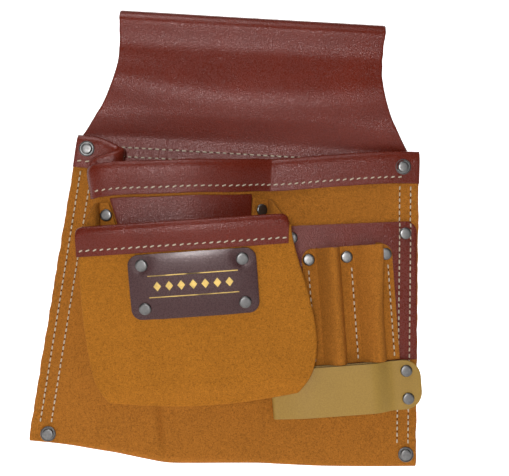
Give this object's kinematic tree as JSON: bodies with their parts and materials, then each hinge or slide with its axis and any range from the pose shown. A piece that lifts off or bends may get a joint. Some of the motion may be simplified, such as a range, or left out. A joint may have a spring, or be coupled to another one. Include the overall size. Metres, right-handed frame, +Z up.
{
  "type": "electrician tool pouch",
  "caption": "Leather electrician's tool pouch with a fold-over belt loop, a deep main pocket, a pleated outer pocket, stitched tool loops and a swinging hammer loop.",
  "frame": {"origin": "middle of the belt tunnel: half way across it, half way up the clear height for a belt, and in the plane where the pouch's front and rear suede meet at the side seams", "axes": "+Z up along the pouch, +Y out of the flat back towards the wearer, +X to the right seen from the front; the front faces -Y"},
  "size_m": [0.274, 0.0537, 0.3178],
  "materials": {
    "oxblood": "smooth grain, satin",
    "suede": "napped split leather, matte",
    "buff": "smooth grain, satin",
    "badge_leather": "smooth grain, slightly glossy",
    "nickel": "dark nickel plate, polished",
    "thread": "waxed thread, off-white"
  },
  "bodies": {
    "pouch": {"belt_loop_yoke": "oxblood", "main_pocket_body": "suede", "main_pocket_trim": "oxblood", "wear_patch": "oxblood", "tool_loop_backing": "oxblood", "tool_loop_strip": "suede", "rivet_top_left_cap": "nickel", "rivet_top_left_burr": "nickel", "rivet_top_left_washer": "nickel", "rivet_top_right_cap": "nickel", "rivet_top_right_burr": "nickel", "rivet_top_right_washer": "nickel", "rivet_bottom_left_cap": "nickel", "rivet_bottom_left_burr": "nickel", "rivet_bottom_left_washer": "nickel", "rivet_bottom_right_cap": "nickel", "rivet_bottom_right_burr": "nickel", "rivet_bottom_right_washer": "nickel", "rivet_pocket_left_cap": "nickel", "rivet_pocket_left_burr": "nickel", "rivet_pocket_right_cap": "nickel", "rivet_pocket_right_burr": "nickel", "rivet_backing_left_cap": "nickel", "rivet_backing_left_burr": "nickel", "rivet_backing_right_cap": "nickel", "rivet_backing_right_burr": "nickel", "rivet_loop_1_cap": "nickel", "rivet_loop_1_burr": "nickel", "rivet_loop_2_cap": "nickel", "rivet_loop_2_burr": "nickel", "rivet_loop_3_cap": "nickel", "rivet_loop_3_burr": "nickel", "rivet_strap_upper_cap": "nickel", "rivet_strap_upper_burr": "nickel", "rivet_strap_lower_cap": "nickel", "rivet_strap_lower_burr": "nickel", "thread_belt_loop_upper": "thread", "thread_belt_loop_lower": "thread", "thread_main_trim": "thread", "thread_side_left_outer": "thread", "thread_side_left_inner": "thread", "thread_side_right_outer": "thread", "thread_side_right_inner": "thread", "thread_loop_1": "thread", "thread_loop_2": "thread", "thread_loop_3": "thread"},
    "outer_pocket": {"outer_pocket_panel": "suede", "outer_pocket_trim": "oxblood", "badge": "badge_leather", "thread_pocket_trim": "thread", "rivet_badge_tl_cap": "nickel", "rivet_badge_tl_burr": "nickel", "rivet_badge_tr_cap": "nickel", "rivet_badge_tr_burr": "nickel", "rivet_badge_bl_cap": "nickel", "rivet_badge_bl_burr": "nickel", "rivet_badge_br_cap": "nickel", "rivet_badge_br_burr": "nickel"},
    "hammer_loop": {"hammer_loop_strap": "buff"}
  },
  "joints": [
    {"name": "outer_pocket_mouth", "type": "hinge", "parent": "pouch", "child": "outer_pocket", "pos_m": [-0.027, -0.012, -0.222], "axis": [0.9919, 0, 0.1271], "range_deg": [-5, 12], "deforming": ["outer_pocket_panel"]},
    {"name": "hammer_loop_swing", "type": "hinge", "parent": "pouch", "child": "hammer_loop", "pos_m": [0.11169, -0.00595, -0.2046], "axis": [-0.1305, 0, 0.9914], "range_deg": [0, 110], "deforming": ["hammer_loop_strap"]}
  ]
}
